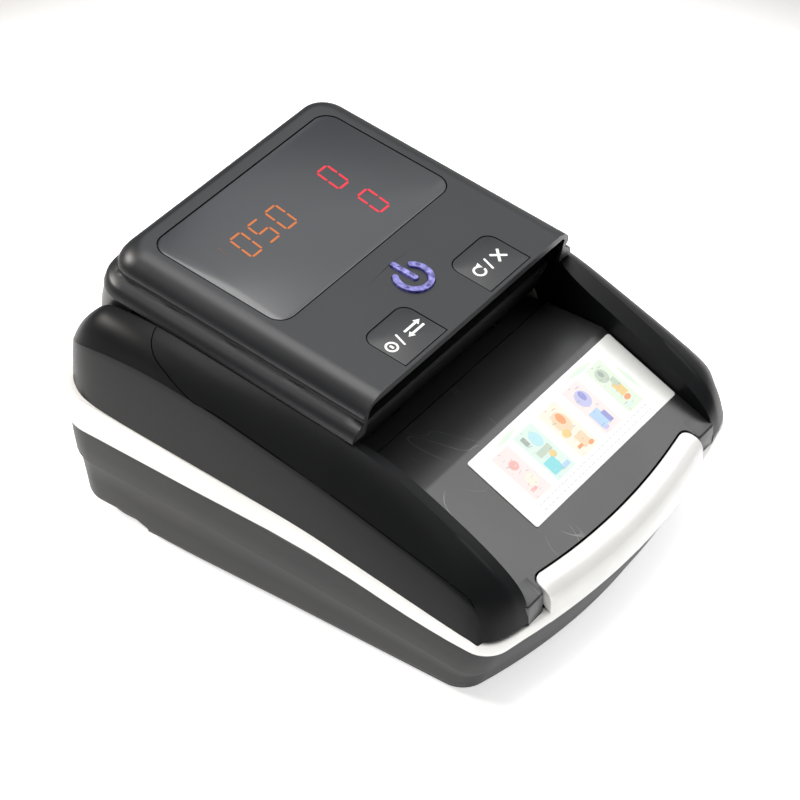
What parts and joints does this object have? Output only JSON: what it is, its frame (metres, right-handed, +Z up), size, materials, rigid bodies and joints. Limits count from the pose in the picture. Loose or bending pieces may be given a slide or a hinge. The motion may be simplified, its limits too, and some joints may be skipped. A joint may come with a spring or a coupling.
{
  "type": "counterfeit banknote detector",
  "caption": "Desktop counterfeit banknote detector: hinged reading head with a display and keys over a feed tray, belt-driven note rollers and a case with a pale front lip.",
  "frame": {"origin": "middle of the case in plan, on the surface the feet stand on", "axes": "+X to the right of someone feeding notes, +Y from the feed tray to the rear exit, +Z up"},
  "size_m": [0.1248, 0.163, 0.0933],
  "materials": {
    "dark_case": "satin moulded",
    "light_frame": "gloss",
    "cover_black": "fine satin",
    "tray_black": "fine texture",
    "smoked_window": "gloss tinted",
    "sticker": "printed",
    "lit_symbol": "translucent",
    "digits": "satin",
    "board": "circuit board",
    "steel": "brushed",
    "bronze": "sintered",
    "roller_rubber": "ground",
    "foot_rubber": "matte",
    "belt_rubber": "matte",
    "light_nylon": "natural",
    "clear_window": "polished",
    "cell_wrap": "shrink film",
    "screw_steel": "zinc black"
  },
  "bodies": {
    "case": {"base_shell": "dark_case", "battery_door": "dark_case", "battery_pack": "cell_wrap", "mid_frame": "light_frame", "upper_case": "cover_black", "shoulder_left": "cover_black", "shoulder_right": "cover_black", "feed_tray": "tray_black", "tray_label": "sticker", "lower_bed": "dark_case", "side_plate_left": "steel", "side_plate_right": "steel", "shaft_bearings": "bronze", "drive_belt": "belt_rubber", "drive_motor": "steel", "sensor_windows": "clear_window", "lower_sensor_board": "board", "main_board": "board", "buzzer": "dark_case", "dc_inlet": "dark_case", "update_port": "steel", "rubber_feet": "foot_rubber", "case_screws": "screw_steel", "hinge_pins": "steel"},
    "front_roller": {"front_drive_roller": "steel", "front_drive_tyres": "roller_rubber", "front_pulley": "light_nylon"},
    "rear_roller": {"rear_drive_roller": "steel", "rear_drive_tyres": "roller_rubber", "rear_pulley": "light_nylon", "encoder_disc": "dark_case"},
    "motor_wheel": {"motor_pulley": "light_nylon"},
    "head": {"head_cover": "cover_black", "head_base": "dark_case", "display_window": "smoked_window", "display_board": "board", "digit_modules": "digits", "key_switches": "dark_case", "key_board": "board", "idler_brackets": "steel", "upper_sensor_board": "board", "magnetic_head": "steel"},
    "left_key": {"key_left": "cover_black"},
    "right_key": {"key_right": "cover_black"},
    "power_key": {"power_button": "lit_symbol"},
    "front_idler_shaft": {"front_idler": "light_nylon"},
    "rear_idler_shaft": {"rear_idler": "light_nylon"}
  },
  "joints": [
    {"name": "head_hinge", "type": "hinge", "parent": "case", "child": "head", "pos_m": [0, 0.07, 0.0666], "axis": [-1, 0, 0], "range_deg": [0, 65]},
    {"name": "rear_roller_spin", "type": "hinge", "parent": "case", "child": "rear_roller", "pos_m": [0, 0.04, 0.0479], "axis": [1, 0, 0], "continuous": true},
    {"name": "front_roller_spin", "type": "hinge", "parent": "case", "child": "front_roller", "pos_m": [0, -0.005, 0.0479], "axis": [1, 0, 0], "continuous": true},
    {"name": "motor_spin", "type": "hinge", "parent": "case", "child": "motor_wheel", "pos_m": [0.0519, 0.015, 0.032], "axis": [1, 0, 0], "continuous": true},
    {"name": "left_key_press", "type": "hinge", "parent": "head", "child": "left_key", "pos_m": [-0.0199, -0.02143, 0.08115], "axis": [-1, 0, 0], "range_deg": [0, 1.2], "stiffness_Nm_per_rad": 0.2},
    {"name": "right_key_press", "type": "hinge", "parent": "head", "child": "right_key", "pos_m": [0.0199, -0.02143, 0.08115], "axis": [-1, 0, 0], "range_deg": [0, 1.2], "stiffness_Nm_per_rad": 0.2},
    {"name": "power_press", "type": "slide", "parent": "head", "child": "power_key", "axis": [0, 0.1267, -0.9919], "range_m": [0, 0.0005], "stiffness_N_per_m": 1000},
    {"name": "front_idler_spin", "type": "hinge", "parent": "head", "child": "front_idler_shaft", "pos_m": [0, -0.005, 0.0582], "axis": [1, 0, 0], "continuous": true},
    {"name": "rear_idler_spin", "type": "hinge", "parent": "head", "child": "rear_idler_shaft", "pos_m": [0, 0.04, 0.0582], "axis": [1, 0, 0], "continuous": true}
  ],
  "couplings": [
    {"joint": "front_roller_spin", "follows": "rear_roller_spin", "ratio": 1},
    {"joint": "motor_spin", "follows": "rear_roller_spin", "ratio": 1.5278}
  ]
}
